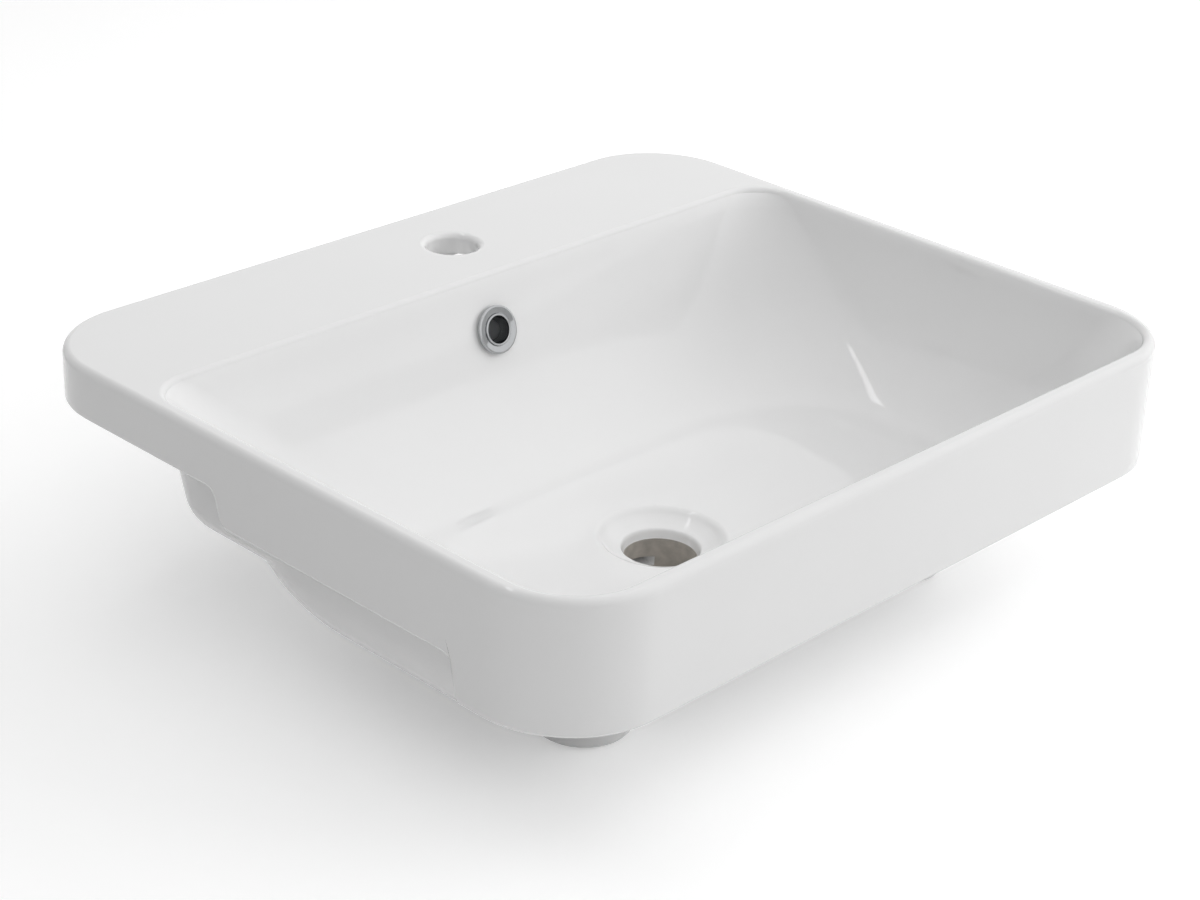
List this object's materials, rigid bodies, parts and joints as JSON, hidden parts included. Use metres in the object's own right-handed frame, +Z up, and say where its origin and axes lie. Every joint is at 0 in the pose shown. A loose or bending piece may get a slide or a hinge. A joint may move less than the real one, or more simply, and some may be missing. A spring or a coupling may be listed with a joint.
{
  "type": "semi recessed basin",
  "caption": "Semi recessed washbasin with a stepped apron, a wide steep-walled bowl, a tap hole in its rear deck, an overflow with a bright ring and a round waste outlet.",
  "frame": {"origin": "under the middle of the basin, on the plane of its feet", "axes": "+Z up, +Y towards the wall, +X to the right of a person who stands at the basin"},
  "size_m": [0.56, 0.47, 0.166],
  "materials": {
    "glazed_ceramic": "gloss",
    "chrome": "gloss",
    "rubber": "matte"
  },
  "bodies": {
    "root": {"basin_body": "glazed_ceramic", "overflow_flange": "chrome", "overflow_sleeve": "chrome", "overflow_gasket": "rubber", "overflow_grip": "rubber"}
  },
  "joints": []
}
